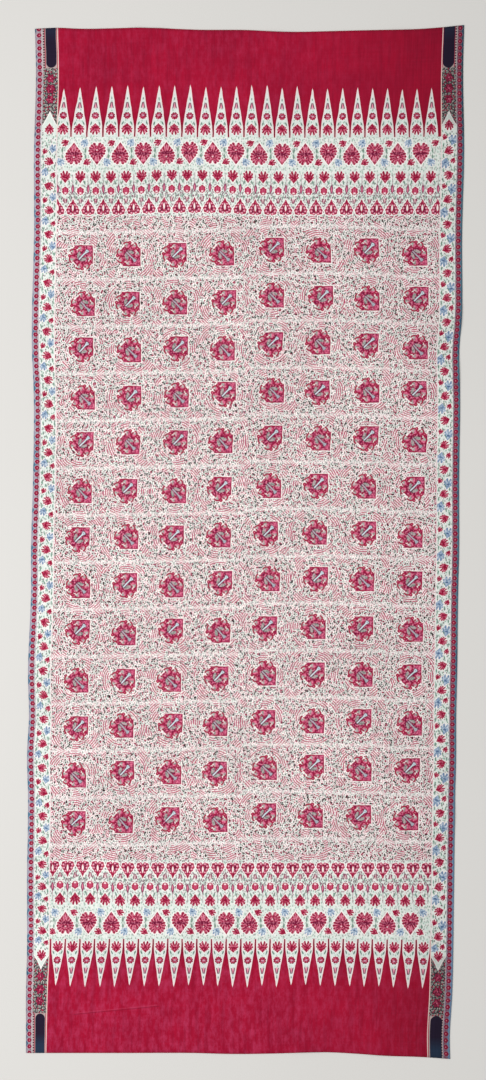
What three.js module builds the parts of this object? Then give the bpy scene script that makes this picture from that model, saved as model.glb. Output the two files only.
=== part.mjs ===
// A block-printed cotton cloth, laid out flat and seen from its printed side.
// It is one length of plain-woven cotton, with a selvedge down each long side and
// two plainly cut ends. It was pulled a little out of square when it was finished,
// so its outline wanders by a few millimetres and leans to one side.
// Millimetres, +Z up. The cloth lies on z = 0, +Y runs along its length, and the
// origin is under the middle of its box.

import * as THREE from 'three';
import { mergeVertices } from 'three/addons/utils/BufferGeometryUtils.js';

// Driving dimensions
const CLOTH_WIDTH = 1072;
const CLOTH_LENGTH = 2562;
const CLOTH_THICKNESS = 1.2;
const CELLS_ACROSS = 26;
const CELLS_ALONG = 56;

// The two selvedges, from the top end down. station is a share of the cloth's length
// from its bottom end. left and right say how far each selvedge lies outside a true
// rectangle of the cloth's width, towards +X.
const SELVEDGE_WANDER = [
  { station: 1.0, left: 13.5, right: 14 },
  { station: 0.955, left: 16, right: 11.5 },
  { station: 0.88, left: 11, right: 14 },
  { station: 0.8, left: 11, right: 9 },
  { station: 0.72, left: 6, right: 8.5 },
  { station: 0.685, left: 6, right: 2 },
  { station: 0.64, left: 10.5, right: 4 },
  { station: 0.56, left: 8.5, right: 1.5 },
  { station: 0.49, left: 3.5, right: 1.5 },
  { station: 0.45, left: 3.5, right: -1 },
  { station: 0.37, left: -4, right: -3.5 },
  { station: 0.33, left: -1.5, right: -6 },
  { station: 0.29, left: -6.5, right: -6 },
  { station: 0.25, left: -4, right: -8.5 },
  { station: 0.17, left: -6.5, right: -11 },
  { station: 0.1, left: -6.5, right: -13.5 },
  { station: 0.06, left: -9, right: -16 },
  { station: 0.02, left: -9, right: -22 },
  { station: 0.0, left: -9, right: -21 },
];

// The two cut ends, from left to right. across is a share of the width from the left
// selvedge. top and bottom say how far each end lies off a true rectangle, towards +Y.
const CUT_WANDER = [
  { across: 0.0, top: -1, bottom: 1 },
  { across: 0.05, top: 1.5, bottom: 1 },
  { across: 0.11, top: -1, bottom: 1 },
  { across: 0.25, top: 1.5, bottom: 1 },
  { across: 0.39, top: -3.5, bottom: 1 },
  { across: 0.49, top: -4, bottom: -1.5 },
  { across: 0.58, top: -8.5, bottom: -0.5 },
  { across: 0.7, top: -6.5, bottom: 3 },
  { across: 0.79, top: -4, bottom: -1.5 },
  { across: 0.86, top: -3, bottom: -6.5 },
  { across: 0.93, top: 1.5, bottom: -9 },
  { across: 1.0, top: 8.5, bottom: -14 },
];

// Soft creases and cockles, where the cloth stands a few millimetres off what it lies
// on. Each runs straight from one point to another, in millimetres from the middle.
const CREASES = [
  { fromX: -262, fromY: 1300, toX: -266, toY: 1150, rise: 2.6, halfWidth: 46 },
  { fromX: -214, fromY: 1300, toX: -216, toY: 1185, rise: 2.2, halfWidth: 42 },
  { fromX: 88, fromY: 1300, toX: 70, toY: 1215, rise: 1.8, halfWidth: 55 },
  { fromX: 395, fromY: 1300, toX: 372, toY: 1190, rise: 2.0, halfWidth: 60 },
  { fromX: -430, fromY: -1186, toX: -205, toY: -1164, rise: 3.0, halfWidth: 48 },
  { fromX: 150, fromY: -1300, toX: 190, toY: -1205, rise: 2.2, halfWidth: 58 },
  { fromX: 330, fromY: -1300, toX: 345, toY: -1190, rise: 2.4, halfWidth: 55 },
  { fromX: 560, fromY: 560, toX: 470, toY: 545, rise: 1.8, halfWidth: 60 },
  { fromX: 560, fromY: 420, toX: 485, toY: 440, rise: 1.6, halfWidth: 55 },
  { fromX: -560, fromY: -420, toX: -470, toY: -405, rise: 1.8, halfWidth: 60 },
  { fromX: -560, fromY: 340, toX: -480, toY: 352, rise: 1.6, halfWidth: 55 },
  { fromX: 540, fromY: -690, toX: 455, toY: -700, rise: 1.6, halfWidth: 60 },
];

// A smooth curve through one column of a table, read at any place along another.
function columnCurve(table, place, column) {
  const rows = [...table].sort((a, b) => a[place] - b[place]);
  const places = rows.map((row) => row[place]);
  const values = rows.map((row) => row[column]);
  const curve = new THREE.CubicInterpolant(places, values, 1);
  return (at) => curve.evaluate(at)[0];
}

const leftWander = columnCurve(SELVEDGE_WANDER, 'station', 'left');
const rightWander = columnCurve(SELVEDGE_WANDER, 'station', 'right');
const topWander = columnCurve(CUT_WANDER, 'across', 'top');
const bottomWander = columnCurve(CUT_WANDER, 'across', 'bottom');

// Where a point of the true rectangle lies on the real cloth, seen from above.
function laidPoint(across, station) {
  const leftX = -CLOTH_WIDTH / 2 + leftWander(station);
  const rightX = CLOTH_WIDTH / 2 + rightWander(station);
  const bottomY = -CLOTH_LENGTH / 2 + bottomWander(across);
  const topY = CLOTH_LENGTH / 2 + topWander(across);
  return new THREE.Vector2(
    THREE.MathUtils.lerp(leftX, rightX, across),
    THREE.MathUtils.lerp(bottomY, topY, station),
  );
}

// How far the cloth's underside stands off the surface at a point: a rounded hump
// across each crease, which fades out past the crease's ends.
function liftAt(point) {
  let lift = 0;
  for (const crease of CREASES) {
    const from = new THREE.Vector3(crease.fromX, crease.fromY, 0);
    const to = new THREE.Vector3(crease.toX, crease.toY, 0);
    const here = new THREE.Vector3(point.x, point.y, 0);
    const nearest = new THREE.Line3(from, to).closestPointToPoint(here, true, new THREE.Vector3());
    const share = Math.min(1, here.distanceTo(nearest) / crease.halfWidth);
    lift = Math.max(lift, crease.rise * 0.5 * (1 + Math.cos(Math.PI * share)));
  }
  return lift;
}

// The sheet starts as a thin box with a grid on its two faces, and each of its points
// is then moved to where the real cloth has it.
function makeClothSheet() {
  const sheet = new THREE.BoxGeometry(1, 1, 1, CELLS_ACROSS, CELLS_ALONG, 1);
  const places = sheet.attributes.position;
  for (let i = 0; i < places.count; i += 1) {
    const point = laidPoint(places.getX(i) + 0.5, places.getY(i) + 0.5);
    const thickness = places.getZ(i) > 0 ? CLOTH_THICKNESS : 0;
    places.setXYZ(i, point.x, point.y, liftAt(point) + thickness);
  }
  sheet.deleteAttribute('normal');
  sheet.deleteAttribute('uv');
  const closed = mergeVertices(sheet);
  closed.computeBoundingBox();
  const middle = closed.boundingBox.getCenter(new THREE.Vector3());
  closed.translate(-middle.x, -middle.y, 0);
  closed.computeVertexNormals();
  return closed;
}

const printedCotton = new THREE.MeshStandardMaterial({
  name: 'printed_cotton',
  color: 0xc9a0a6,
  roughness: 0.9,
  metalness: 0,
});

const cloth = new THREE.Mesh(makeClothSheet(), printedCotton);
cloth.name = 'cloth';

const textile = new THREE.Group();
textile.add(cloth);

export default textile;
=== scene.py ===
# A block-printed cotton cloth, laid out flat, printed side up.
# Its print is madder red, pink and indigo on a bleached ground that has gone a little
# green: a field of pomegranate sprigs on a ground of tiny vines, bands of palmettes, a
# row of tall pointed teeth at each red end, and a flowering border down each side.
# The print is drawn in millimetres on the cloth's own map, u across and v along it.

import math

import bmesh
import bpy
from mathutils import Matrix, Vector, geometry, noise


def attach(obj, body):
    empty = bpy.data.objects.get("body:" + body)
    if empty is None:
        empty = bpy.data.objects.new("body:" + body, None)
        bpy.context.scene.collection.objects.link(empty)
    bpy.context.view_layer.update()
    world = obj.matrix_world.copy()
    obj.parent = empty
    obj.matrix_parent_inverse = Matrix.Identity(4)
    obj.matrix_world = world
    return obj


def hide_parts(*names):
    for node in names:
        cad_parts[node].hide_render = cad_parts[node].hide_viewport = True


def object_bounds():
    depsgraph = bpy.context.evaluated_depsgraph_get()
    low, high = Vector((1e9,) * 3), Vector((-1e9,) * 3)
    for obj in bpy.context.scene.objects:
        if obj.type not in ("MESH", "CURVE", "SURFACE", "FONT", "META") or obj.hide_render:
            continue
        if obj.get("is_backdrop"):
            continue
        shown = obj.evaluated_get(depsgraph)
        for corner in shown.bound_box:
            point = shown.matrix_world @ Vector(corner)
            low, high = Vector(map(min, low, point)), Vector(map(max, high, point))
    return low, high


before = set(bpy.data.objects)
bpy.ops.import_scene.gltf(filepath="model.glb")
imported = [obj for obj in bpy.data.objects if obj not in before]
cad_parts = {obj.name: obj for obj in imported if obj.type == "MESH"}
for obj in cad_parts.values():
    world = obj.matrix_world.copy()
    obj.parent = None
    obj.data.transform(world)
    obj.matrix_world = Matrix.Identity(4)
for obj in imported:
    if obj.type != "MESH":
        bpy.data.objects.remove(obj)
cad_low, cad_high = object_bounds()

bl_info = {
    "name": "Block-printed cotton cloth",
    "version": (1, 0, 0),
    "blender": (4, 5, 0),
    "location": "3D View > Sidebar > Cloth",
    "description": "Makes a long block-printed cotton cloth and the plain stage it lies on",
    "category": "Object",
}

MM = 0.001

# The same outline and creases as the solid has, in millimetres. Each row of the first
# table is a share of the length from the bottom end, then how far the left and the right
# selvedge lie outside a true rectangle there, towards +X.
SELVEDGE_WANDER = (
    (1.0, 13.5, 14),
    (0.955, 16, 11.5),
    (0.88, 11, 14),
    (0.8, 11, 9),
    (0.72, 6, 8.5),
    (0.685, 6, 2),
    (0.64, 10.5, 4),
    (0.56, 8.5, 1.5),
    (0.49, 3.5, 1.5),
    (0.45, 3.5, -1),
    (0.37, -4, -3.5),
    (0.33, -1.5, -6),
    (0.29, -6.5, -6),
    (0.25, -4, -8.5),
    (0.17, -6.5, -11),
    (0.1, -6.5, -13.5),
    (0.06, -9, -16),
    (0.02, -9, -22),
    (0.0, -9, -21),
)
# A share of the width from the left selvedge, then how far the top and the bottom end
# lie off a true rectangle there, towards +Y
CUT_WANDER = (
    (0.0, -1, 1),
    (0.05, 1.5, 1),
    (0.11, -1, 1),
    (0.25, 1.5, 1),
    (0.39, -3.5, 1),
    (0.49, -4, -1.5),
    (0.58, -8.5, -0.5),
    (0.7, -6.5, 3),
    (0.79, -4, -1.5),
    (0.86, -3, -6.5),
    (0.93, 1.5, -9),
    (1.0, 8.5, -14),
)
# Where a crease starts and stops, how high it stands, and half its width
CREASES = (
    ((-262, 1300), (-266, 1150), 2.6, 46),
    ((-214, 1300), (-216, 1185), 2.2, 42),
    ((88, 1300), (70, 1215), 1.8, 55),
    ((395, 1300), (372, 1190), 2.0, 60),
    ((-430, -1186), (-205, -1164), 3.0, 48),
    ((150, -1300), (190, -1205), 2.2, 58),
    ((330, -1300), (345, -1190), 2.4, 55),
    ((560, 560), (470, 545), 1.8, 60),
    ((560, 420), (485, 440), 1.6, 55),
    ((-560, -420), (-470, -405), 1.8, 60),
    ((-560, 340), (-480, 352), 1.6, 55),
    ((540, -690), (455, -700), 1.6, 60),
)

# Two red corners are drawn out sideways, bottom left and top right. pull is in
# millimetres, and reach is the share of the length over which the pull fades out.
BOTTOM_LEFT_CORNER = {"pull": 8.5, "reach": 0.11}
TOP_RIGHT_CORNER = {"pull": 6.0, "reach": 0.1}

# The bands of the print, in millimetres. The bases of the teeth lie BASE from the
# cloth's middle line at both ends, and the bands are given from there inwards.
HALF_PRINT = 536.5
BASE = 1002.5
TOP_EDGE = 1273.5
BOTTOM_EDGE = 1288.5
BAND_HALF = 479.0
FLORAL_STRIP = 40.5
FLORET_LINE = 521.5
PALMETTE_BAND = 82.5
PALMETTE_MIDDLE = 962.5
FIELD_HALF = 805.0
TOOTH_HEIGHT = 113

# How far apart the carved blocks repeat, in millimetres. A pair holds the pitch at the
# bottom end, and how much longer it is at the top end.
TOOTH_PITCH = (36.82, 1.68)
PALMETTE_PITCH = (57.88, -0.13)
BUD_PITCH = (37.72, 0.32)
SPRIG_ACROSS = 119.4
SPRIG_ALONG = 117.8
BORDER_PITCH = 60.6
FLORET_PITCH = 15.9

# The cotton's threads, in millimetres. One thread is too fine to show, so the slubs in
# the colour are drawn ten threads wide, and the bump of the weave six.
THREAD = 0.4
SLUB_WIDTH = THREAD * 10
WEAVE_WIDTH = THREAD * 6

# The cells of the cloth's mesh
CELLS_ACROSS = 118
CELLS_ALONG = 284

# The stage, in metres, and its lens in millimetres
FLOOR_DROP = 0.0004
LAMP_PLACE = (-2.8, -0.2, 4.5)
LAMP_SIZE = (3.5, 5.0)
CAMERA_PLACE = (-0.005, 0.005, 8.0)
SENSOR = 36
LENS = 106.667

# Dye and ground colours, as sRGB hex
CRIMSON = "#a3163f"
DEEP_RED = "#84102f"
ROSE = "#cb4a70"
PINK = "#ea87a0"
BLUSH = "#f6d3d8"
PLUM = "#4e1a30"
DARK_VEIN = "#5f1234"
PALMETTE_SHADE = "#6d1236"
SPRIG_SHADE = "#6b1438"
MADDER_END = "#a50d31"
WHITE = "#fdf5f1"
GROUND = "#fbf2ef"
GREEN_GROUND = "#dbe6de"
BORDER_GROUND = "#dce6df"
SAGE = "#84a794"
LEAF = "#467360"
PALE_LEAF = "#6d8b7b"
BORDER_LEAF = "#5f8673"
VINE = "#74877a"
TEAL = "#5b8398"
INK_BLACK = "#221a28"

# The dyes of a small flower: its petals, their light strokes and their dark ones
REDS = (CRIMSON, PINK, DEEP_RED)
BLUES = ("#a5bbce", "#dfe7ee", "#3f5c88")
BORDER_BLUES = ("#93abc4", "#dde4ec", "#3d5882")


def linear(hex_colour):
    """An sRGB hex colour as the linear colour that a shader takes."""
    parts = [int(hex_colour[i : i + 2], 16) / 255 for i in (1, 3, 5)]
    lit = [p / 12.92 if p <= 0.04045 else ((p + 0.055) / 1.055) ** 2.4 for p in parts]
    return (*lit, 1.0)


def add_node(tree, kind, settings, inputs):
    """Adds one node. An input is a plain value, another node's output, or a Measure."""
    node = tree.nodes.new(kind)
    for name, value in settings.items():
        setattr(node, name, value)
    for place, value in inputs.items():
        if isinstance(value, Measure):
            value = value.output
        if isinstance(value, bpy.types.NodeSocket):
            tree.links.new(value, node.inputs[place])
        else:
            node.inputs[place].default_value = value
    return node


class Measure:
    """A number that varies over the cloth, kept as one output in a material's nodes.

    Sums made with it add the nodes that work the result out, so a motif is written as
    plain formulas in millimetres. A shape is a distance that is negative inside it.
    """

    def __init__(self, tree, output):
        self.tree = tree
        self.output = output

    def worked(self, operation, *values, clamped=False):
        settings = {"operation": operation, "use_clamp": clamped}
        node = add_node(self.tree, "ShaderNodeMath", settings, dict(enumerate(values)))
        return Measure(self.tree, node.outputs[0])

    def __add__(self, other):
        return self.worked("ADD", self, other)

    __radd__ = __add__

    def __sub__(self, other):
        return self.worked("SUBTRACT", self, other)

    def __rsub__(self, other):
        return self.worked("SUBTRACT", other, self)

    def __mul__(self, other):
        return self.worked("MULTIPLY", self, other)

    __rmul__ = __mul__

    def __truediv__(self, other):
        return self.worked("DIVIDE", self, other)

    def __pow__(self, other):
        return self.worked("POWER", self, other)

    def __neg__(self):
        return self.worked("MULTIPLY", self, -1)

    def __abs__(self):
        return self.worked("ABSOLUTE", self)

    def __gt__(self, other):
        return self.worked("GREATER_THAN", self, other)

    def __round__(self):
        return self.worked("ROUND", self)


def least(first, *others):
    """The smallest of several measures: the place that is in any of several shapes."""
    for other in others:
        first = first.worked("MINIMUM", first, other)
    return first


def most(first, *others):
    """The largest of several measures: the place that is in all of several shapes."""
    for other in others:
        first = first.worked("MAXIMUM", first, other)
    return first


def length(x, y):
    return x.worked("SQRT", x.worked("MULTIPLY_ADD", y, y, x * x))


def disc(x, y, radius):
    return length(x, y) - radius


def oval(x, y, half_x, half_y):
    return length(x, y * (half_x / half_y)) - half_x


def leaf(x, y, half_width, half_length):
    """A leaf along y, pointed at both ends."""
    return abs(x) + (y * y) * (half_width / half_length**2) - half_width


def bar(x, y, half_x, half_y):
    return most(abs(x) - half_x, abs(y) - half_y)


def turned(x, y, degrees):
    """The same place, read in axes turned by some degrees to the left."""
    c = math.cos(math.radians(degrees))
    s = math.sin(math.radians(degrees))
    return x * c + y * s, y * c - x * s


def bearing(x, y):
    """The direction of a place, as the angle from +y towards +x."""
    return x.worked("ARCTAN2", x, y)


def petals(angle, count):
    """1 along the middle of each of so many petals to the full turn, -1 between them."""
    return angle.worked("COSINE", angle * count)


def rays(angle, count):
    """0 on each of so many rays to the full turn, and up to 1 halfway between them."""
    return abs(angle.worked("SINE", angle * (count / 2)))


def cover(shape, softness=0.9):
    """How much of the dye lies at a place: all inside the shape, none outside it."""
    return shape.worked("MULTIPLY_ADD", shape, -1 / softness, 0.5, clamped=True)


def line(shape, width, softness=0.9):
    """A line of dye along a shape's edge."""
    return cover(abs(shape) - width / 2, softness)


def chance(number, seed):
    """A number from 0 to 1 that is the same all over one repeat of the pattern."""
    settings = {"noise_dimensions": "1D"}
    node = add_node(number.tree, "ShaderNodeTexWhiteNoise", settings, {"W": number + seed})
    return Measure(number.tree, node.outputs["Value"])


def pitch_at(top, pitch):
    """A block's pitch at this end, from what the pair says of the two ends."""
    at_bottom, more_at_top = pitch
    return top * more_at_top + at_bottom


def repeat(row, pitch, first=None, last=None):
    """The number of the block that a place belongs to, and the place in millimetres from
    that block's middle. row counts blocks from the middle of number 0."""
    number = round(row)
    if first is not None:
        number = most(number, first)
    if last is not None:
        number = least(number, last)
    return number, (row - number) * pitch


def odd(number):
    """1 for every other block of a row, and 0 for the blocks between them."""
    return number.worked("PINGPONG", number, 1)


def bow(place, middle, reach):
    """1 at the middle, and smoothly down to 0 a reach away to either side of it."""
    share = (place - middle) * (1 / reach)
    return most(1 - share * share, 0)


class Drawing:
    """One material of the printed cloth, painted layer on layer like the real print."""

    def __init__(self, name, ground, wobble=5.0):
        self.material = bpy.data.materials.new(name)
        self.material.use_nodes = True
        self.tree = self.material.node_tree
        self.tree.nodes.clear()
        self.map = add_node(self.tree, "ShaderNodeUVMap", {"uv_map": "print"}, {}).outputs[0]
        place = add_node(self.tree, "ShaderNodeSeparateXYZ", {}, {0: self.map})
        self.across = Measure(self.tree, place.outputs[0])
        self.along = Measure(self.tree, place.outputs[1])
        settings = {"noise_dimensions": "2D"}
        inputs = {"Vector": self.map, "Scale": 1 / 34, "Detail": 3.5, "Roughness": 0.62}
        shake = add_node(self.tree, "ShaderNodeTexNoise", settings, inputs).outputs["Color"]
        parts = add_node(self.tree, "ShaderNodeSeparateColor", {}, {0: shake})
        shift_u = Measure(self.tree, parts.outputs[0]) - 0.5
        shift_v = Measure(self.tree, parts.outputs[1]) - 0.5
        self.u = shift_u.worked("MULTIPLY_ADD", shift_u, wobble, self.across)
        self.v = shift_v.worked("MULTIPLY_ADD", shift_v, wobble, self.along)
        self.colour = linear(ground) if isinstance(ground, str) else tuple(ground)
        self.thin = None
        self.pooled = None

    def stretched(self, stretch, turn, shift):
        """The map with its marks drawn out, turned by some degrees and shifted."""
        inputs = {
            "Vector": self.map,
            "Location": (shift, shift, 0),
            "Rotation": (0, 0, math.radians(turn)),
            "Scale": (1 / stretch[0], 1 / stretch[1], 1),
        }
        return add_node(self.tree, "ShaderNodeMapping", {}, inputs).outputs[0]

    def mottle(self, grain, detail=2.0, stretch=(1, 1), shift=0, roughness=0.5):
        """A number about a half, uneven at a grain given in millimetres."""
        vector = self.stretched(stretch, 0, shift)
        inputs = {"Vector": vector, "Scale": 1 / grain, "Detail": detail, "Roughness": roughness}
        settings = {"noise_dimensions": "2D"}
        node = add_node(self.tree, "ShaderNodeTexNoise", settings, inputs)
        return Measure(self.tree, node.outputs[0])

    def scatter(self, pitch, stretch=1, turn=0, feature="F1", shift=0):
        """The distance, in pitches, from marks that are scattered a pitch apart."""
        vector = self.stretched((1, stretch), turn, shift)
        settings = {"voronoi_dimensions": "2D", "feature": feature}
        inputs = {"Vector": vector, "Scale": 1 / pitch, "Randomness": 0.85}
        node = add_node(self.tree, "ShaderNodeTexVoronoi", settings, inputs)
        return Measure(self.tree, node.outputs["Distance"])

    def fleck(self, light, dark, shape, strength):
        """Breaks up a printed shape: pale where the block has printed thinly, and dark
        where the dye has pooled."""
        if self.thin is None:
            grain = self.mottle(4.6, 1.0, shift=57)
            self.thin = cover(grain - 0.43, 0.08)
            self.pooled = cover(0.57 - grain, 0.08)
        inside = cover(shape + 1.4) * strength
        self.paint(light, self.thin * inside)
        self.paint(dark, self.pooled * inside)

    def paint(self, colour, amount):
        """Lays a colour over what is there, as strongly as the amount says."""
        if isinstance(colour, str):
            colour = linear(colour)
        settings = {"data_type": "RGBA"}
        inputs = {0: amount, 6: self.colour, 7: colour}
        self.colour = add_node(self.tree, "ShaderNodeMix", settings, inputs).outputs[2]

    def finish(self):
        """Ages the print, darkens its right side with painted shade and some soiling, and gives
        plain cotton its weave, its dryness and a little nap: nearly no gloss, faint streaks of
        thicker threads, and a fine uneven grain."""
        fade = self.mottle(210, 3.0)
        slub = self.mottle(SLUB_WIDTH, 2.0, stretch=(1, 30), shift=70)
        pick = self.mottle(SLUB_WIDTH, 2.0, stretch=(38, 1), shift=150)
        # Painted shade where the light falls off to the right, with some real soiling: the right
        # side is darker than the left, most of all towards the corners
        far = most(self.across - 160, 0) * (1 / 376)
        reach = self.along * (1 / 1280)
        soil_and_falloff_shade = far * far * (reach * reach * 0.2 + 0.12)
        # This multiplies the colour: slubs, picks and fading, less the painted shade and soiling
        # on the right
        wear_and_shade = (slub - 0.5) * 0.26 + (pick - 0.5) * 0.14 + (fade - 0.5) * 0.2 + 1 - soil_and_falloff_shade
        settings = {"data_type": "RGBA", "blend_type": "MULTIPLY"}
        grey = add_node(self.tree, "ShaderNodeCombineColor", {}, {0: wear_and_shade, 1: wear_and_shade, 2: wear_and_shade})
        inputs = {0: 1.0, 6: self.colour, 7: grey.outputs[0]}
        aged_and_shaded = add_node(self.tree, "ShaderNodeMix", settings, inputs).outputs[2]
        inputs = {
            "Base Color": aged_and_shaded,
            "Roughness": 0.94,
            "Sheen Weight": 0.04,
            "Specular IOR Level": 0.12,
        }
        skin = add_node(self.tree, "ShaderNodeBsdfPrincipled", {}, inputs)
        thread = self.mottle(WEAVE_WIDTH, 1.0, stretch=(1, 3), shift=31)
        weft = self.mottle(WEAVE_WIDTH, 1.0, stretch=(3, 1), shift=17)
        inputs = {"Strength": 0.35, "Distance": THREAD * MM, "Height": thread + weft}
        bump = add_node(self.tree, "ShaderNodeBump", {}, inputs)
        self.tree.links.new(bump.outputs[0], skin.inputs["Normal"])
        add_node(self.tree, "ShaderNodeOutputMaterial", {}, {0: skin.outputs[0]})
        return self.material


def end_of_cloth(drawing):
    """1 at the top end and 0 at the bottom, and the distance past the teeth's bases."""
    return drawing.v > 0, abs(drawing.v) - BASE


def flower(d, x, y, reach, foot, count, dyes=REDS):
    """Paints a flower whose petals fan out towards +y from a foot that is drawn in to a
    point at -foot. The place is read from the middle of the fan."""
    body_dye, light_dye, dark_dye = dyes
    # The petals stream up from a point halfway down the foot
    root = foot * 0.5
    angle = bearing(x, y + root)
    away = length(x, y + root) - root
    tips = -petals(angle, count)
    sine = reach * 0.9 / foot
    cosine = math.sqrt(1 - sine * sine)
    hood = most(abs(x) * cosine - (y + foot) * sine, y + reach * sine)
    body = least(disc(x, y, reach) - tips * (reach * 0.12), hood)
    # The two halves part in the middle
    body = most(body, (y - reach * 0.25) * 0.32 - abs(x))
    d.paint(WHITE, cover(body - 1.7) * 0.9)
    d.paint(body_dye, cover(body))
    rim = cover(body + 1.2)
    d.paint(light_dye, cover(tips + 0.3, 0.6) * rim * cover(reach * 0.1 - away, 1.5) * 0.8)
    d.paint(dark_dye, cover(0.75 - tips, 0.4) * rim * cover(reach * 0.4 - away, 2) * 0.6)
    d.fleck(light_dye, dark_dye, body, 0.5)
    slits = cover(tips + 0.84, 0.26) * cover(reach * 0.4 - away)
    d.paint(WHITE, slits * cover(body + 0.2) * 0.6)
    d.paint(dark_dye, line(body + 0.6, 1.0) * 0.35)
    d.paint(dark_dye, cover(oval(x, y + reach * 0.35, reach * 0.36, reach * 0.18), 1.5) * 0.8)


def ground_marks(d, strength, dark):
    """The greenish ground between the motifs, with its fine dashes and dots."""
    d.paint(WHITE, cover(0.5 - d.mottle(9, 2.0), 0.16) * 0.4)
    dashes = cover(d.scatter(6.6, stretch=1.7, turn=24) - 0.22, 0.12)
    d.paint(SAGE, dashes * strength)
    dots = cover(d.scatter(8.2, stretch=1.3, turn=-37, shift=61) - 0.18, 0.1)
    d.paint("#6b3a50", dots * dark)


def red_end():
    """Madder-dyed plain cotton: a full, slightly uneven red with paler threads in it,
    and the row of tall white teeth that is left undyed at its inner edge."""
    name = "madder_red_end_on_plain_cotton"
    d = Drawing(name, bpy.context.scene.cloth_settings.red_dye, wobble=3.0)
    top, beyond = end_of_cloth(d)
    cloudy = d.mottle(150, 3.0, roughness=0.6)
    d.paint("#930b2e", (cloudy - 0.4) * 2.4)
    worn = d.mottle(14, 4.0, stretch=(1, 2.2), shift=12, roughness=0.75)
    # Painted shade: the red grows darker towards the right, where the light falls off, and shows
    # less of its pale wear there
    shade_to_right = least(most(d.across * (1 / 450), 0), 1)
    d.paint("#bf3e66", cover(worn - 0.44, 0.3) * (0.54 - top * 0.3 - shade_to_right * 0.16))
    streak = d.mottle(13, 3.0, stretch=(1, 9), shift=45, roughness=0.65)
    d.paint("#7c0a2a", cover(streak - 0.44, 0.2) * 0.3)
    # Painted shade darkening the red towards the right
    d.paint("#8a0b26", shade_to_right * 0.35)
    pitch = pitch_at(top, TOOTH_PITCH)
    sideways = (d.u + 40) * (d.u + 40) * (1 / 457**2)
    row = (d.u + 458.7 + top * 8.3 - (1 - sideways) * top * 11) / pitch
    number, x = repeat(row, pitch, 0, 25 - top)
    # Each tooth is a little taller or shorter than the next
    tall = (chance(number, 3.5) - 0.5) * 5 + 5 + top * 9 - sideways * top * 7
    y = beyond
    reach = most(y, 0) * (tall * (-1 / TOOTH_HEIGHT**2) + 1 / TOOTH_HEIGHT)
    w = least((pitch * 0.5 - 1.9) * (1 - reach * reach), 21 - reach * 20.4)
    tooth = abs(x) - w
    d.paint("#5f0a28", cover(abs(tooth - 1.6) - 1.0, 1.4) * cover(y - 60, 60) * 0.6)
    d.paint("#f6e9e6", cover(tooth))
    inner = tooth + 2.2
    d.paint("#a5878f", line(inner, 1.0) * 0.6)
    d.paint("#dbe4de", cover(inner))
    dashes = cover(d.scatter(6.5, stretch=1.6, turn=30) - 0.24, 0.12) * cover(inner + 2)
    d.paint(SAGE, dashes * 0.7)
    # A palmette at the foot of the tooth, then a pair of leaves, a rosette and a bud
    flower(d, x, 18.0 - y, 12.3, 16.5, 14)
    leaves = leaf(abs(x) - 10.6 - (33 - y) * 0.35, y - 34, 1.9, 5.2)
    d.paint(LEAF, cover(leaves) * 0.85)
    angle = bearing(x, y - 52)
    rosette = disc(x, y - 53, 8.8) + petals(angle, 9) * 0.8
    d.paint(WHITE, cover(rosette - 1.5) * 0.7)
    d.paint(CRIMSON, cover(rosette))
    strokes = cover(rays(angle, 9) - 0.4, 0.4) * cover(rosette + 1.6)
    d.paint(PINK, strokes * cover(52 - y, 6) * 0.85)
    d.paint("#d7a9c0", cover(oval(x, y - 54, 3.4, 2.2)))
    d.paint(PLUM, cover(most(abs(rosette + 0.8) - 1.0, 50 - y)) * 0.6)
    d.fleck(PINK, DEEP_RED, rosette, 0.5)
    d.paint(PLUM, cover(abs(length(x, y - 50) - 6.2) - 0.7) * cover(rosette + 1.6) * 0.5)
    legs = most(abs(abs(x) - 2.7 + (y - 79.5) * 0.2) - 1.25, abs(y - 79.5) - 7.5)
    d.paint(PINK, cover(leaf(x, y - 77, 2.0, 7.5)) * 0.9)
    d.paint("#742a4a", cover(legs))
    d.paint("#3f6f5d", cover(oval(x, y - 96, 1.3, 3.2)) * 0.85)
    # Painted shade along the sharp crease that was ironed into the lower red end, and a painted
    # highlight on its upper side
    drop = d.along + 1181 - (d.across + 304) * 0.098
    d.paint("#5e0f28", cover(bar(d.across + 304, drop, 106, 0.9), 1.6) * 0.45)
    d.paint("#c04a6a", cover(bar(d.across + 304, drop - 3, 98, 1.0), 2.4) * 0.3)
    return d.finish()


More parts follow.
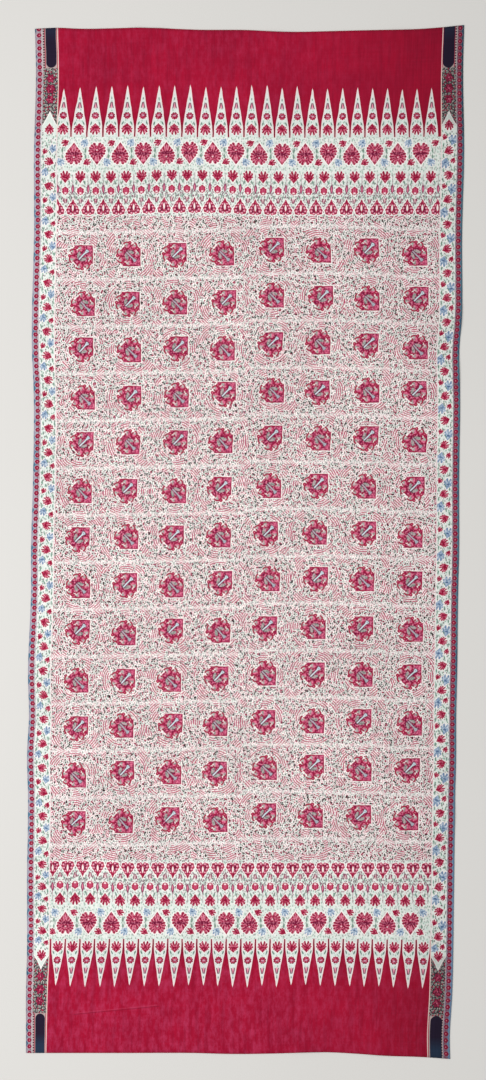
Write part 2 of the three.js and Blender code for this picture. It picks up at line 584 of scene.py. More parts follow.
def palmette_band():
    """Resist and mordant printed band on plain cotton: palmettes set tip up and tip down
    by turns, with blue tulips and little red fans between them."""
    d = Drawing("block_printed_palmette_band", GREEN_GROUND, wobble=2.6)
    ground_marks(d, 0.7, 0.5)
    top = d.v > 0
    side = top * 2 - 1
    step = pitch_at(top, PALMETTE_PITCH)
    swell = bow(d.u, -130, 130) * top * 2.8
    upward = d.v - side * PALMETTE_MIDDLE + top * 1.8 - swell
    row = (d.u - 22.7 - top * 2.3) / step
    number, x = repeat(row, step, -8, 7)
    y = upward * (1 - odd(number) * 2)
    # Little leaves one over another between the palmettes, on a thin winding stem
    sway = row.worked("COSINE", row * math.pi)
    lane = abs(x) - 28.6 + upward * sway * 0.3
    d.paint(VINE, cover(abs(lane) - 0.5) * 0.6)
    d.paint(PALE_LEAF, cover(leaf(lane, abs(upward) - 8, 2.1, 6.5)) * 0.9)
    d.paint(PLUM, cover(disc(abs(lane) - 4, abs(upward) - 14, 1.3)) * 0.7)
    # The four small flowers of each pair of palmettes
    pair = row.worked("WRAP", row * side * step, step, -step)
    for middle_x, middle_y, lean, reach, foot, dyes in (
        (26, 26, 150, 9.2, 13.5, BLUES),
        (-32.5, -22, 215, 9.2, 13.5, BLUES),
        (-23, 26, 118, 8.2, 12.5, REDS),
        (34, -21, -62, 8.2, 12.5, REDS),
    ):
        fx, fy = turned(pair - middle_x, upward - middle_y, lean)
        flower(d, fx, fy, reach, foot, 12, dyes)
    # The palmette: a pointed head, and petal tips all along the rim of a round foot
    angle = bearing(x, y + 7)
    away = length(x, y + 7)
    rim = petals(angle, 16)
    girth = most(disc(x, y + 7, 21), (abs(x) + y * 0.62 - 19.8) * 0.85) - rim * 1.1
    body = least(girth, most(abs(x) * 0.8 + (y - 28) * 0.6, 5 - y))
    body = most(body, (-y - 18) * 0.42 - abs(x))
    d.paint(WHITE, cover(body - 2.3))
    d.paint(CRIMSON, cover(body))
    edge = cover(body + 1.5)
    strokes = cover(rim + 0.4, 0.5) * edge * cover(10 - away, 2)
    d.paint("#e2708f", strokes * 0.75)
    d.paint(DEEP_RED, cover(0.55 - rim, 0.4) * edge * cover(11 - away, 2) * 0.55)
    slits = cover(rim + 0.88, 0.2) * cover(13.5 - away) * cover(body + 0.3)
    d.paint(WHITE, slits * 0.4)
    d.paint(PINK, line(away - 7.5, 1.4) * cover(y + 4, 2) * 0.7)
    d.paint(PALMETTE_SHADE, cover(oval(x, y - 0.5, 14.5, 4.2), 3.0) * 0.85)
    lx, ly = turned(abs(x) - 6.5, y + 8.5, 38)
    d.paint(PALMETTE_SHADE, cover(leaf(lx, ly, 1.7, 6.5)) * 0.75)
    d.paint(PINK, cover(leaf(x, y - 15, 2.0, 7)) * 0.9)
    d.paint(BLUSH, cover(disc(x, y + 9, 2.1)))
    d.fleck(PINK, PALMETTE_SHADE, body, 0.5)
    return d.finish()


def bud_band():
    """Block-printed rows on plain cotton: tulips over cups and buds, slender spires
    between them, and a close row of pointed palmettes next to the field."""
    d = Drawing("block_printed_bud_band", GREEN_GROUND, wobble=2.6)
    top, beyond = end_of_cloth(d)
    # At the top they swell upwards left of the middle, and at the bottom on the left
    swell = bow(d.u, -150, 160) * top * 5.5
    left = most(least((-290 - d.u) * (1 / 80), 1), 0) * (1 - top) * 4.5
    q = (1 - top) * 4 - beyond + swell - left
    ground_marks(d, 0.75, cover(118 - q, 30) * 0.7 + 0.2)
    haze = cover(d.scatter(6.4, stretch=1.6, turn=70, shift=81) - 0.2, 0.1)
    d.paint("#96506e", haze * cover(118 - q, 30) * 0.85)
    pitch = pitch_at(top, BUD_PITCH)
    row = (d.u + 453.4 + top * 4.9) / pitch
    x = repeat(row, pitch, last=24)[1]
    # Spires at half the pitch: a thin stem, a slender bud and a fine ring
    hx = repeat(row - 0.5, pitch)[1]
    ring = disc(hx, q - 147, 6.0)
    d.paint("#9a6078", cover(bar(hx, q - 116, 0.8, 22)) * 0.7)
    d.paint("#7d6a72", line(ring, 1.3) * 0.9)
    d.paint("#8a3a5c", cover(leaf(hx, q - 130, 3.9, 12)))
    d.paint(PINK, cover(leaf(hx, q - 131, 1.5, 7.5)) * 0.9)
    d.paint(PLUM, cover(disc(abs(hx) - 6.4, q - 140, 1.5)) * 0.8)
    d.paint(PLUM, cover(disc(abs(hx) - 3.0, q - 150, 1.3)) * 0.7)
    d.paint(PALE_LEAF, cover(leaf(abs(hx) - 8.4, q - 152, 1.8, 5.4)) * 0.85)
    # Tulips, open side outwards, each over a pair of leaves
    flower(d, x, 97.5 - q, 12.3, 19.0, 14)
    d.paint(DEEP_RED, cover(leaf(abs(x) - 4.4, q - 97, 1.4, 6)) * 0.7)
    sprig = leaf((abs(x) - 10.4) - (q - 115) * 0.3, q - 114, 2.0, 6.0)
    d.paint(LEAF, cover(sprig) * 0.8)
    # Cups and small buds
    cup = oval(x, q - 135, 8.7, 9.8) - petals(bearing(x, q - 138), 8) * 0.7
    d.paint(WHITE, cover(cup - 1.5))
    d.paint(CRIMSON, cover(cup))
    ribs = x.worked("COSINE", x * (2 * math.pi / 4.6))
    d.paint(PINK, cover(ribs + 0.3, 0.6) * cover(cup + 2.2) * 0.6)
    d.paint(ROSE, cover(cup + 3.0) * 0.4)
    d.paint(BLUSH, cover(oval(x, q - 140.5, 3.2, 2.2)))
    legs = most(abs(abs(x) - 2.9 + (q - 160.5) * 0.25) - 1.2, abs(q - 160.5) - 6.2)
    d.paint(PINK, cover(leaf(x, q - 158.5, 1.4, 6.0)) * 0.7)
    d.paint("#84204a", cover(legs))
    # The close row of pointed palmettes
    high = q - 177
    shell = most(abs(hx) - (high + 21) * 0.66, high - 2)
    shell = least(shell, disc(abs(hx) - 6.4, high - 8, 10.0))
    angle = bearing(hx, 3 - high)
    shell = shell - petals(angle, 11) * 0.8
    shell = most(shell, (high - 13) * 0.4 - abs(hx))
    d.paint(WHITE, cover(shell - 2.0))
    d.paint(CRIMSON, cover(shell))
    d.paint(DARK_VEIN, cover(leaf(abs(hx) - 6.2, high - 5, 2.0, 10)) * 0.85)
    d.paint(DARK_VEIN, cover(bar(abs(hx) - 6.5, high - 11.5, 5.5, 1.2), 1.6) * 0.6)
    dots = least(
        disc(abs(hx) - 5.2, high + 6.5, 1.9),
        disc(abs(hx) - 9.4, high - 1, 2.3),
        disc(abs(hx) - 11.0, high - 8.8, 2.4),
        disc(abs(hx) - 5.4, high - 14.4, 2.3),
    )
    d.fleck(PINK, DARK_VEIN, shell, 0.35)
    d.paint("#f0a5b8", cover(dots))
    d.paint(WHITE, cover(leaf(hx, high - 0.5, 2.4, 8.8)) * 0.9)
    return d.finish()


def field():
    """Fine block and pen work on plain cotton: pomegranate sprigs in crimson and pink
    on an off-white ground filled with plum dots, sage threads and fine rose lines."""
    d = Drawing("block_printed_sprig_field", GROUND, wobble=3.5)
    # The sprig that a place belongs to, and the place read from the sprig's middle
    sag = (1 - (d.u * d.u) * (1 / 418**2)) * 4.3
    lean = bow(d.v, 480, 300) * 7
    across = (d.u + sag - lean) * (1 / SPRIG_ACROSS)
    column, x = repeat(across - 0.5, SPRIG_ACROSS, -4, 3)
    right = column > -0.5
    right_rise = 8.5 - (column - 0.7) * (column - 0.7) * 1.55
    rise = right_rise * right + column * (1 - right) * 2.0
    level, y = repeat((d.v - rise - 5.5) * (1 / SPRIG_ALONG), SPRIG_ALONG, -6, 6)
    seam = cover(abs(abs(y) - 59) - 4, 5)
    number = column + level * 17.3
    x = x + (chance(number, 2.7) - 0.5) * 7
    y = y + (chance(number, 9.1) - 0.5) * 7
    flip = odd(level - column)
    y = y * (1 - flip * 2)
    away = length(x, y)
    # Ground: a lace of sage threads, each mesh with a plum or a crimson dot in it. The
    # fine rose lines are really 3.5 mm apart, and are drawn wider so that they show.
    patch = d.mottle(26, 3.0)
    d.paint("#dfeae2", cover(patch - 0.5, 0.2) * 0.4)
    mesh = {"pitch": 7.2, "stretch": 1.15, "turn": -20, "shift": 7}
    threads = cover(d.scatter(feature="DISTANCE_TO_EDGE", **mesh) - 0.055, 0.05)
    bundle = cover(d.mottle(24, 1.0, shift=90) - 0.42, 0.04) * cover(36 - away, 3)
    kind = d.mottle(8, 1.0, shift=140)
    d.paint("#3f6552", threads * cover(kind - 0.5, 0.06))
    d.paint("#b53a66", threads * cover(0.5 - kind, 0.06) * 0.9)
    dash = d.scatter(5.8, stretch=2.0, turn=33, shift=40)
    d.paint("#2c4a39", cover(dash - 0.19, 0.08) * (1 - bundle))
    dots = cover(d.scatter(**mesh) - 0.25, 0.05) * (1 - bundle * 0.8)
    d.paint("#9c2149", dots)
    d.paint("#220a18", dots * cover(kind - 0.5, 0.05))
    waves = away.worked("SINE", away * (2 * math.pi / 5.2) + patch * 4)
    d.paint("#b52e5b", cover(0.2 - waves, 0.6) * bundle * 0.95)
    # Halfway between two rows of sprigs the marks thin out to a whiter line
    d.paint("#fffaf7", seam * 0.4)
    # The sprig, read along its own axis: a towards the tip, b to either side
    a = (x + y) * math.sqrt(0.5)
    b = abs((x - y) * math.sqrt(0.5))
    tip = most((a + b - 42.2) * 0.72, 8 - a)
    heart = least(disc(a + 4, b, 19.0), disc(a - 8, b - 6, 15.0))
    # Three pairs of curled leaves: middle, radius, and which way each one opens
    curled = (
        (14.5, 13.6, 10.4, -0.7, 0.71),
        (-5.5, 23.0, 9.2, -0.6, 0.8),
        (-17.5, 12.0, 10.6, -0.9, -0.43),
    )
    discs = [disc(a - ca, b - cb, radius * 0.9) for ca, cb, radius, oa, ob in curled]
    buds = least(disc(a - 4.5, b - 26, 4.8), disc(a + 18.5, b - 23.0, 4.4))
    whole = least(tip, heart, buds, *discs)
    d.paint(WHITE, cover(whole - 2.2, 1.6) * 0.85)
    d.paint("#a82450", cover(least(tip, heart)))
    d.fleck("#d6708e", SPRIG_SHADE, least(tip, heart), 0.75)
    d.paint("#d65a80", cover(tip + 3.4) * cover(25 - a, 3) * 0.7)
    vein = b - (a - 16) * 0.42 - 2.4
    d.paint(SPRIG_SHADE, line(vein, 1.8) * cover(tip + 1.6) * cover(15 - a, 4) * 0.7)
    # Two grey-green leaves that lie along the stem inside the heart
    lx, ly = turned(b - 8.5, a - 1, -24)
    wing = leaf(lx, ly, 4.0, 11)
    d.paint("#5c2240", line(wing, 1.4) * 0.8)
    d.paint("#9db1a6", cover(wing + 0.4) * 0.9)
    for ca, cb, radius, oa, ob in curled:
        pa, pb = a - ca, b - cb
        forward = pa * oa + pb * ob
        aside = pb * oa - pa * ob
        swing = bearing(aside, -forward)
        curl = length(pa, pb) + swing * (radius * 0.075) - radius * 0.8
        d.paint("#a3b5a9", cover(curl))
        d.paint("#db5f86", cover(curl) * cover(forward, radius * 0.5))
        mouth = oval(aside, forward - radius * 0.7, radius * 0.3, radius * 0.42)
        d.paint("#f0e8e4", cover(mouth))
        d.paint(CRIMSON, line(curl + 0.9, 3.6))
        d.paint("#5a1836", line(curl - 1.2, 0.9) * 0.5)
    d.paint(CRIMSON, cover(buds))
    d.paint(PINK, cover(buds + 3.4))
    d.fleck("#e493ab", DARK_VEIN, whole + 1.0, 0.45)
    # The pale stem that opens towards the tip, and the dark line around it
    flare = b - most((a - 15) * 0.35, 0)
    stem = most(flare - 1.6, -8 - a, a - 25 + b * 0.4)
    d.paint("#54304a", cover(stem - 1.5) * (1 - flip * 0.3))
    d.paint("#dbe4ea", cover(stem) * (0.92 - flip * 0.42))
    d.paint("#93adbc", cover(disc(a - 21, b, 2.0)) * 0.8)
    return d.finish()


def selvedge_strip(d, edge, outer_dye):
    """The narrow strip along the selvedge: round florets on a scalloped crimson line."""
    d.paint("#ecd9da", cover(abs(edge + 0.8) - 0.8) * 0.5)
    outside = cover(-edge)
    d.paint(outer_dye, outside)
    uneven = d.mottle(14, 2.0, stretch=(1, 2), shift=19)
    d.paint("#3f5f80", cover(uneven - 0.47, 0.1) * outside * 0.6)
    right = d.u > 0
    sky = most(least((-300 - d.v) * (1 / 700), 1), 0) * right
    d.paint("#8fb0d8", sky * outside * 0.75)
    pale = cover(0.46 - uneven, 0.1) * outside * (1 - right)
    d.paint("#c8aab6", pale * 0.5)
    d.paint("#6b2340", cover(most(edge - 11.5, -edge)) * right * 0.75)
    bead = repeat((d.v + right * 5) * (1 / FLORET_PITCH), FLORET_PITCH)[1]
    wave = abs(bead.worked("SINE", bead * (math.pi / FLORET_PITCH)))
    d.paint("#cfc3c6", cover(most(edge - 7.0 + wave * 3, -edge)) * (0.6 - right * 0.45))
    d.paint("#7c1434", cover(abs(edge - 2.6 - wave * 2.0) - 1.4))
    floret = disc(bead, edge - 7.4, 6.1) - petals(bearing(bead, edge - 7.4), 6) * 0.5
    d.paint("#d3d6da", cover(floret - 0.9) * (0.7 - right * 0.35))
    d.paint("#8c1a3e", cover(floret))
    d.paint("#dc7d83", cover(disc(bead, edge - 6.8, 1.5)))


def border_place(d):
    """How far out a place of the border lies from the edge of the bands. The border's
    lines are drawn straighter than the motifs, with 0.4 of their unevenness."""
    return abs(d.u) - BAND_HALF + (abs(d.across) - abs(d.u)) * 0.6


def border_flowers(d, out):
    """The greenish strip between the bands and the selvedge, with its row of flowers."""
    ground_marks(d, 0.95, 0.8)
    right = d.u > 0
    # The blocks of the left border are set closer together near the bottom end
    squeeze = most(-811 - d.v, 0) * (1 - right) * 0.1
    step = right * 0.7 + BORDER_PITCH
    row = (d.v - squeeze + 29.3 - right * 16.3) / step
    number, y = repeat(row, step)
    flip = 1 - odd(number) * 2
    # No carnation is printed where the fans of the corner panels stand
    x = (out - 20) * flip + (abs(d.v - y) > 998) * 200
    # Between two carnations: a blue flower to one side and a small red one to the other
    between, along = repeat(row - 0.5, step)
    turn = 1 - odd(between) * 2
    lift = turn * (1 - right * 2)
    across = (out - 20) * lift
    along = along * turn
    scale = 1 - right * 0.2
    fx, fy = turned((across + 10) * scale, (along - 3 * lift) * scale, 12)
    flower(d, fx, fy, 8.8, 13.5, 12, BORDER_BLUES)
    fx, fy = turned(across - 10, along + 4 * lift, 25)
    flower(d, fx, fy, 6.4, 10.0, 12)
    d.paint(BORDER_LEAF, cover(leaf(across - 1 - along * 0.4, abs(along) - 9, 1.6, 5)) * 0.9)
    # The carnation, its foot to one side and its petals fanned out to the other
    cx, cy = turned(x, y * flip, -68)
    flower(d, cx, cy - 1, 10.4, 14.5, 16)
    d.paint(BORDER_LEAF, cover(leaf(abs(x) - 14, abs(y) - 12, 1.6, 5.6)) * 0.85)


def side_border():
    """Block-printed border on plain cotton: red carnations and blue flowers in a pale
    strip, and a narrow blue strip of round florets along the selvedge."""
    d = Drawing("block_printed_flower_border", BORDER_GROUND, wobble=5.0)
    out = border_place(d)
    border_flowers(d, out)
    # The double line beside the bands, then the blue strip with its florets
    d.paint("#f4e9e6", cover(abs(out - 0.5) - 1.9) * 0.9)
    d.paint("#cf8f9f", cover(abs(out) - 0.5) * 0.6)
    selvedge_strip(d, out - FLORAL_STRIP, TEAL)
    return d.finish()


def corner_panel():
    """Block-printed corner of the border on plain cotton: a white arch over a red fan,
    dark scrolls with rosettes, and a long indigo block that runs off the cut end."""
    d = Drawing("block_printed_corner_panel", BORDER_GROUND, wobble=4.0)
    out = border_place(d)
    border_flowers(d, out)
    top, beyond = end_of_cloth(d)
    bottom = 1 - top
    right = d.u > 0
    # The arch is set 13 mm farther out at the bottom end
    rise = beyond - bottom * 13 - 26
    x = out - 20.5
    inside = cover(-rise, 1)
    scroll = d.scatter(8.4, feature="DISTANCE_TO_EDGE", shift=15)
    d.paint("#8d8985", inside)
    d.paint(INK_BLACK, cover(scroll - 0.13, 0.1) * inside)
    for dye, pitch, size, shift in (("#c9c6bd", 6.8, 0.16, 5), (CRIMSON, 8.5, 0.2, 25)):
        speck = d.scatter(pitch, stretch=1.2, shift=shift)
        d.paint(dye, cover(speck - size, 0.1) * inside)
    # Rosettes on the scrolls
    for middle, later, reach in ((93, 0, 9.5), (119, 8, 10.5), (145, 10, 9.5)):
        y = beyond - middle - bottom * later
        rose = disc(x, y, reach) + petals(bearing(x, y), 6) * 1.8
        d.paint(INK_BLACK, cover(rose - 1.4) * 0.8)
        d.paint("#8f1a3e", cover(rose))
        d.fleck("#c4506e", "#4a0f28", rose, 0.7)
        d.paint(PINK, cover(disc(x, y, 1.6)) * 0.8)
    # The white arch, its sides drawn in to a point
    ogee = abs(x) - 21.5 + (most(rise, 0) * (1 / 38)) ** 0.8 * 21.5
    ogee = most(ogee, -12 - rise)
    d.paint(WHITE, cover(most(ogee, -rise)))
    d.paint(GREEN_GROUND, cover(ogee + 2.4))
    fan = 17.5 + bottom * 21 + top * right * 9
    flower(d, x, fan - beyond, 10.8, 16.5, 14)
    # Painted shade with some soiling: the corner panels on the right are darker
    d.paint("#2c1a22", inside * right * 0.2)
    # The indigo block, rounded at its inner end, between lines of small black dashes
    far = beyond - bottom * 15
    flank = cover(171 - far, 2)
    d.paint("#b9a3a0", flank)
    ticks = d.v.worked("SINE", d.v * (2 * math.pi / 6.5))
    aside = abs(out - 18.5)
    d.paint(INK_BLACK, cover(ticks, 1.0) * cover(abs(aside - 18.5) - 2.2) * flank)
    d.paint(CRIMSON, cover(abs(aside - 15.3) - 1.0) * flank)
    across = out - 18.5 - right * bottom * 3.5
    half = right * 2 + 13
    block = most(abs(across) - half, 185 - far)
    block = least(block, disc(across, far - 185, half))
    d.paint("#241a2e", cover(block))
    d.paint("#26384f", cover(block + 1) * cover(252 - beyond, 30) * (bottom * 0.5 + 0.3))
    # The double line beside the red end
    d.paint("#eeddcf", cover(abs(out - 0.5) - 1.7))
    d.paint(PINK, cover(abs(out) - 0.6) * 0.7)
    selvedge_strip(d, out - FLORAL_STRIP, "#3c5a68")
    return d.finish()


def reverse_side():
    """The back of printed cotton: the dye shows through it paler and less sharp, and
    the cloth between the motifs has more of its own cream colour."""
    d = Drawing("reverse_of_printed_cotton", "#e9e2d6", wobble=9.0)
    haze = d.mottle(14, 4.0, roughness=0.65)
    inside = cover(abs(d.v) - BASE, 3)
    d.paint("#d9b9b6", cover(0.5 - haze, 0.25) * 0.6)
    d.paint("#bd6a7e", cover(BASE + 40 - abs(d.v), 60) * (1 - inside) * 0.9)
    x = d.u.worked("WRAP", d.u, SPRIG_ACROSS, 0) - SPRIG_ACROSS / 2
    y = d.v.worked("WRAP", d.v + 53.4, SPRIG_ALONG, 0) - SPRIG_ALONG / 2
    blot = disc(x, y, 30)
    d.paint("#c98c96", cover(blot, 9) * cover(abs(d.v) - FIELD_HALF) * 0.7)
    bands = abs(abs(d.v) - 956) - 24
    d.paint("#c9929a", cover(bands, 10) * cover(0.5 - haze, 0.1) * 0.6)
    d.paint("#a9b6b6", cover(abs(abs(d.u) - 529) - 7, 4) * 0.6)
    return d.finish()


def column_curve(table, column):
    """A smooth curve through one column of a table, read at any place along its first."""
    rows = sorted(table)
    places = [row[0] for row in rows]
    values = [row[column] for row in rows]

    def at(where):
        i = 1
        while i < len(places) - 1 and where > places[i]:
            i += 1
        t0, t1 = places[i - 1], places[i]
        before, t_before = (i - 2, places[i - 2]) if i > 1 else (i, t1)
        after, t_after = (i + 1, places[i + 1]) if i + 1 < len(places) else (i - 1, t0)
        half = (t1 - t0) * 0.5
        w_before, w_after = half / (t0 - t_before), half / (t_after - t1)
        p = (where - t0) / (t1 - t0)
        pp, ppp = p * p, p * p * p
        return (
            values[before] * (-w_before * ppp + 2 * w_before * pp - w_before * p)
            + values[i - 1]
            * ((1 + w_before) * ppp + (-1.5 - 2 * w_before) * pp + (w_before - 0.5) * p + 1)
            + values[i] * ((-1 - w_after) * ppp + (1.5 + w_after) * pp + 0.5 * p)
            + values[after] * (w_after * ppp - w_after * pp)
        )

    return at


# The cloth's materials, in the order of its mesh
PAINTS = (
    red_end,
    palmette_band,
    bud_band,
    field,
    side_border,
    corner_panel,
    reverse_side,
)


def paint_at(u, v):
    """The material of a face of the printed side, from the face's place on the print."""
    if abs(u) > BAND_HALF:
        return corner_panel if abs(v) > BASE else side_border
    if abs(v) > BASE:
        return red_end
    if abs(v) > BASE - PALMETTE_BAND:
        return palmette_band
    return bud_band if abs(v) > FIELD_HALF else field


def cut(bm, at, normal):
    """Cuts the whole flat sheet along a line, so that a band starts with its own faces."""
    everything = bm.verts[:] + bm.edges[:] + bm.faces[:]
    bmesh.ops.bisect_plane(bm, geom=everything, plane_co=at, plane_no=normal)


def drawn_out(share):
    """How much of a corner's sideways pull reaches a place, that share of the width in:
    all of it beside the red end, and less and less on either side of there."""
    edge = 0.107
    outside = math.sin(min(1.0, share / edge) * math.pi / 2)
    return outside * max(0.0, 1 - max(0.0, share - edge) / 0.3)


def corner_pull(corner, inwards, along):
    """How far a corner pulls a place sideways, in millimetres. The place is given as
    shares of the width and the length from that corner."""
    return corner["pull"] * max(0.0, 1 - along / corner["reach"]) * drawn_out(inwards)


def lift_at(x, y):
    """How far the cloth stands off the floor at a point: a soft hump over each crease."""
    lift = 0.0
    for start, stop, rise, half_width in CREASES:
        start, stop = Vector(start), Vector(stop)
        share = geometry.intersect_point_line(Vector((x, y)), start, stop)[1]
        share = min(1.0, max(0.0, share))
        distance = (Vector((x, y)) - start.lerp(stop, share)).length
        reach = min(1.0, distance / half_width)
        lift = max(lift, rise * 0.5 * (1 + math.cos(math.pi * reach)))
    return lift


class ClothSettings(bpy.types.PropertyGroup):
    width: bpy.props.FloatProperty(
        name="Width",
        description="Width of the cloth between its selvedges",
        default=1.072,
        min=0.3,
        unit="LENGTH",
    )
    length: bpy.props.FloatProperty(
        name="Length",
        description="Length of the cloth between its cut ends",
        default=2.562,
        min=0.6,
        unit="LENGTH",
    )
    thickness: bpy.props.FloatProperty(
        name="Thickness",
        description="Thickness of the cloth with its nap",
        default=0.0011,
        min=0.0002,
        unit="LENGTH",
    )
    cockle: bpy.props.FloatProperty(
        name="Cockle",
        description="How far the flat parts of the cloth rise and fall",
        default=0.0005,
        min=0.0,
        unit="LENGTH",
    )
    red_dye: bpy.props.FloatVectorProperty(
        name="Red dye",
        description="Colour of the two plain red ends",
        subtype="COLOR",
        size=4,
        min=0.0,
        max=1.0,
        default=linear(MADDER_END),
    )


class StageSettings(bpy.types.PropertyGroup):
    floor_colour: bpy.props.FloatVectorProperty(
        name="Floor colour",
        description="Colour of the plain floor",
        subtype="COLOR",
        size=4,
        default=linear("#dcdad6"),
    )
    floor_reach: bpy.props.FloatProperty(
        name="Floor reach",
        description="How far the floor goes to each side",
        default=150.0,
        min=5.0,
        unit="LENGTH",
    )
    light_power: bpy.props.FloatProperty(
        name="Light power",
        description="Power of the large soft light",
        default=244.0,
        min=0.0,
        subtype="POWER",
        unit="POWER",
    )


class MakeCloth(bpy.types.Operator):
    """Makes the printed cloth: a thin closed sheet that lies on the floor"""

    bl_idname = "cloth.make_printed_cloth"
    bl_label = "Printed cloth"

    def execute(self, context):
        sizes = context.scene.cloth_settings
        bm = bmesh.new()
        bmesh.ops.create_grid(bm, x_segments=CELLS_ACROSS, y_segments=CELLS_ALONG, size=0.5)
        whole = TOP_EDGE + BOTTOM_EDGE
        row_end = BASE - PALMETTE_BAND
        for u in (-FLORET_LINE, -BAND_HALF, BAND_HALF, FLORET_LINE):
            cut(bm, Vector((u / (2 * HALF_PRINT), 0, 0)), (1, 0, 0))
        for v in (-BASE, -row_end, -FIELD_HALF, FIELD_HALF, row_end, BASE):
            cut(bm, Vector((0, (v + BOTTOM_EDGE) / whole - 0.5, 0)), (0, 1, 0))
        print_map = bm.loops.layers.uv.new("print")
        bake_map = bm.loops.layers.uv.new("OFBake")
        for face in bm.faces:
            face.smooth = True
            for loop in face.loops:
                across, station = loop.vert.co.x + 0.5, loop.vert.co.y + 0.5
                u = (across - 0.5) * 2 * HALF_PRINT
                v = station * whole - BOTTOM_EDGE
                loop[print_map].uv = (u, v)
                loop[bake_map].uv = (0.004 + across * 0.492, 0.002 + station * 0.996)
            u, v = face.calc_center_median().xy
            paint = paint_at(u * 2 * HALF_PRINT, (v + 0.5) * whole - BOTTOM_EDGE)
            face.material_index = PAINTS.index(paint)
        left, right = (column_curve(SELVEDGE_WANDER, column) for column in (1, 2))
        top, bottom = (column_curve(CUT_WANDER, column) for column in (1, 2))
        half_w, half_l = sizes.width / MM / 2, sizes.length / MM / 2
        for vert in bm.verts:
            across, station = vert.co.x + 0.5, vert.co.y + 0.5
            x_low, x_high = left(station) - half_w, right(station) + half_w
            x = x_low + (x_high - x_low) * across
            x -= corner_pull(BOTTOM_LEFT_CORNER, across, station)
            x += corner_pull(TOP_RIGHT_CORNER, 1 - across, 1 - station)
            # The cut ends wander more than the print inside them does
            y = (station * 2 - 1) * half_l
            y += top(across) * station**12 + bottom(across) * (1 - station) ** 12
            ripple = noise.noise(Vector((x / 70, y / 95, 0))) + 0.5
            rise = lift_at(x, y) * MM + max(0.0, ripple) * sizes.cockle
            vert.co = Vector((x * MM, y * MM, rise + sizes.thickness))
        middle_x = (max(v.co.x for v in bm.verts) + min(v.co.x for v in bm.verts)) / 2
        middle_y = (max(v.co.y for v in bm.verts) + min(v.co.y for v in bm.verts)) / 2
        shift = Vector((-middle_x, -middle_y, 0))
        bmesh.ops.translate(bm, verts=bm.verts, vec=shift)
        bm.normal_update()
        bmesh.ops.solidify(bm, geom=bm.faces[:], thickness=sizes.thickness)
        bmesh.ops.recalc_face_normals(bm, faces=bm.faces[:])
        if any(not edge.is_manifold for edge in bm.edges):
            raise RuntimeError("the cloth's sheet has an open edge")
        # The rim's faces come in another order each time, so all faces are put in one order
        along_x_then_y = Vector((1000, 1, 0.1))
        bm.faces.sort(key=lambda face: face.calc_center_median().dot(along_x_then_y))
        for face in bm.faces:
            if face.normal.z < -0.5:
                face.material_index = PAINTS.index(reverse_side)
                for loop in face.loops:
                    loop[bake_map].uv.x += 0.5
            elif face.normal.z < 0.5:
                face.smooth = False
        mesh = bpy.data.meshes.new("printed_cloth")
        bm.to_mesh(mesh)
        bm.free()
        for paint in PAINTS:
            mesh.materials.append(paint())
        cloth = bpy.data.objects.new("printed_cloth", mesh)
        context.scene.collection.objects.link(cloth)
        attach(cloth, "root")
        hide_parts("cloth")
        sizes.width + 0.001
        sizes.length
        sizes.width * sizes.length * 0.995
        return {"FINISHED"}


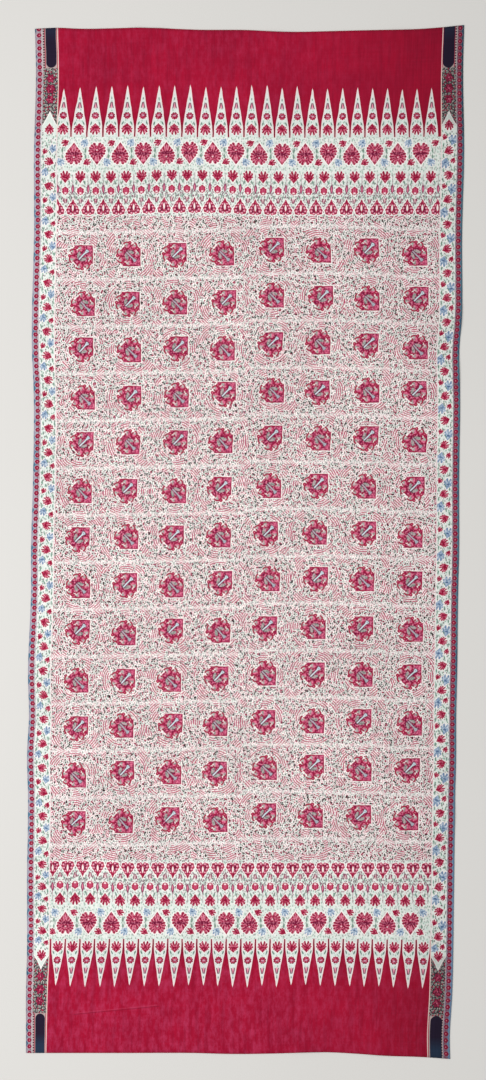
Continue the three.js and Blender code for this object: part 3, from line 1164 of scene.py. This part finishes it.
class MakeStage(bpy.types.Operator):
    """Makes the plain pale floor, the soft light and the camera straight above"""

    bl_idname = "cloth.make_stage"
    bl_label = "Stage"

    def execute(self, context):
        scene = context.scene
        sizes = scene.stage_settings
        bm = bmesh.new()
        bmesh.ops.create_grid(bm, x_segments=1, y_segments=1, size=sizes.floor_reach)
        bmesh.ops.translate(bm, verts=bm.verts, vec=(0, 0, -FLOOR_DROP))
        mesh = bpy.data.meshes.new("floor")
        bm.to_mesh(mesh)
        bm.free()
        # Matt painted board: pale, dry and a little uneven
        board = bpy.data.materials.new("matt_painted_board")
        board.use_nodes = True
        tree = board.node_tree
        tree.nodes.clear()
        place = add_node(tree, "ShaderNodeTexCoord", {}, {})
        inputs = {"Vector": place.outputs["Object"], "Scale": 0.7, "Detail": 3.0}
        uneven = add_node(tree, "ShaderNodeTexNoise", {}, inputs)
        shade = [part * 0.94 for part in sizes.floor_colour[:3]]
        inputs = {0: uneven.outputs[0], 6: tuple(sizes.floor_colour), 7: (*shade, 1.0)}
        colour = add_node(tree, "ShaderNodeMix", {"data_type": "RGBA"}, inputs)
        inputs = {"Base Color": colour.outputs[2], "Roughness": 0.9}
        skin = add_node(tree, "ShaderNodeBsdfPrincipled", {}, inputs)
        add_node(tree, "ShaderNodeOutputMaterial", {}, {0: skin.outputs[0]})
        mesh.materials.append(board)
        floor = bpy.data.objects.new("floor", mesh)
        scene.collection.objects.link(floor)
        floor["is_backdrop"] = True

        lamp = bpy.data.lights.new("soft_light", "AREA")
        lamp.shape = "RECTANGLE"
        lamp.size, lamp.size_y = LAMP_SIZE
        lamp.energy = sizes.light_power
        light = bpy.data.objects.new("soft_light", lamp)
        light.location = LAMP_PLACE
        light.rotation_mode = "QUATERNION"
        light.rotation_quaternion = (-light.location).to_track_quat("-Z", "Y")
        scene.collection.objects.link(light)

        world = bpy.data.worlds.new("pale_room")
        world.use_nodes = True
        world.node_tree.nodes.clear()
        inputs = {"Color": linear("#ffffff"), "Strength": 0.45}
        glow = add_node(world.node_tree, "ShaderNodeBackground", {}, inputs)
        add_node(world.node_tree, "ShaderNodeOutputWorld", {}, {0: glow.outputs[0]})
        scene.world = world
        scene.view_settings.view_transform = "Standard"

        lens = bpy.data.cameras.new("camera")
        lens.sensor_width = SENSOR
        lens.lens = LENS
        lens.clip_end = 400
        camera = bpy.data.objects.new("camera", lens)
        camera.location = CAMERA_PLACE
        scene.collection.objects.link(camera)
        scene.camera = camera
        return {"FINISHED"}


class ClothPanel(bpy.types.Panel):
    bl_idname = "VIEW3D_PT_printed_cloth"
    bl_label = "Printed cloth"
    bl_space_type = "VIEW_3D"
    bl_region_type = "UI"
    bl_category = "Cloth"

    def draw(self, context):
        for settings in (context.scene.cloth_settings, context.scene.stage_settings):
            for name in settings.__annotations__:
                self.layout.prop(settings, name)
        self.layout.operator(MakeStage.bl_idname)
        self.layout.operator(MakeCloth.bl_idname)


CLASSES = (ClothSettings, StageSettings, MakeCloth, MakeStage, ClothPanel)


def register():
    for each in CLASSES:
        bpy.utils.register_class(each)
    bpy.types.Scene.cloth_settings = bpy.props.PointerProperty(type=ClothSettings)
    bpy.types.Scene.stage_settings = bpy.props.PointerProperty(type=StageSettings)


def unregister():
    del bpy.types.Scene.stage_settings
    del bpy.types.Scene.cloth_settings
    for each in reversed(CLASSES):
        bpy.utils.unregister_class(each)


def main():
    register()
    bpy.ops.cloth.make_stage()
    bpy.ops.cloth.make_printed_cloth()
    low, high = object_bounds()
    boxes = {"cad": [list(cad_low), list(cad_high)], "visual": [list(low), list(high)]}


if __name__ == "__main__":
    main()
